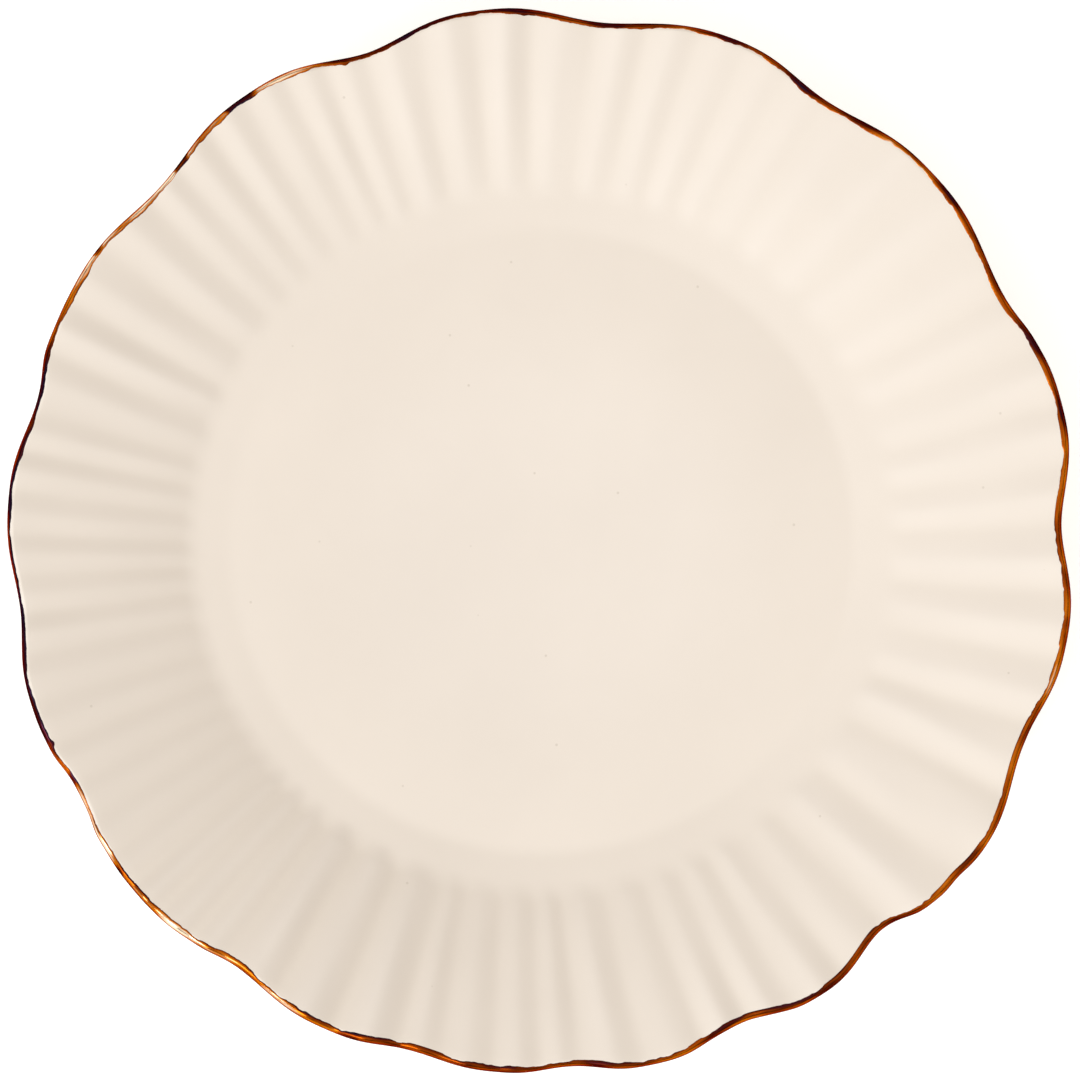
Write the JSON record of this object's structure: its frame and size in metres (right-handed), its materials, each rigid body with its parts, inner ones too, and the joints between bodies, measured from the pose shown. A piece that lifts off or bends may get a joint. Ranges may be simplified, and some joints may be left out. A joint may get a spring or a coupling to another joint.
{
  "type": "dessert plate",
  "caption": "Round dessert plate in cream glazed ceramic with a round well, a fluted rim, a wavy scalloped edge, a bare foot ring and a thin gold line painted over the lip.",
  "frame": {"origin": "middle of the foot ring, on the plane that the plate stands on", "axes": "+Z up out of the well, +X to the right and +Y up in the picture, which looks down on the plate"},
  "size_m": [0.2092, 0.2094, 0.0216],
  "materials": {
    "fired_clay": "bare fired clay, fine matt grain",
    "cream_glaze": "smooth glossy cream glaze with rare pinholes",
    "gold_lustre": "bright brushed-on gold lustre, copper brown where thin"
  },
  "bodies": {
    "root": {"plate_body": "fired_clay", "foot_ring": "fired_clay", "face_glaze": "cream_glaze", "back_glaze": "cream_glaze", "recess_glaze": "cream_glaze", "gold_rim_line": "gold_lustre"}
  },
  "joints": []
}
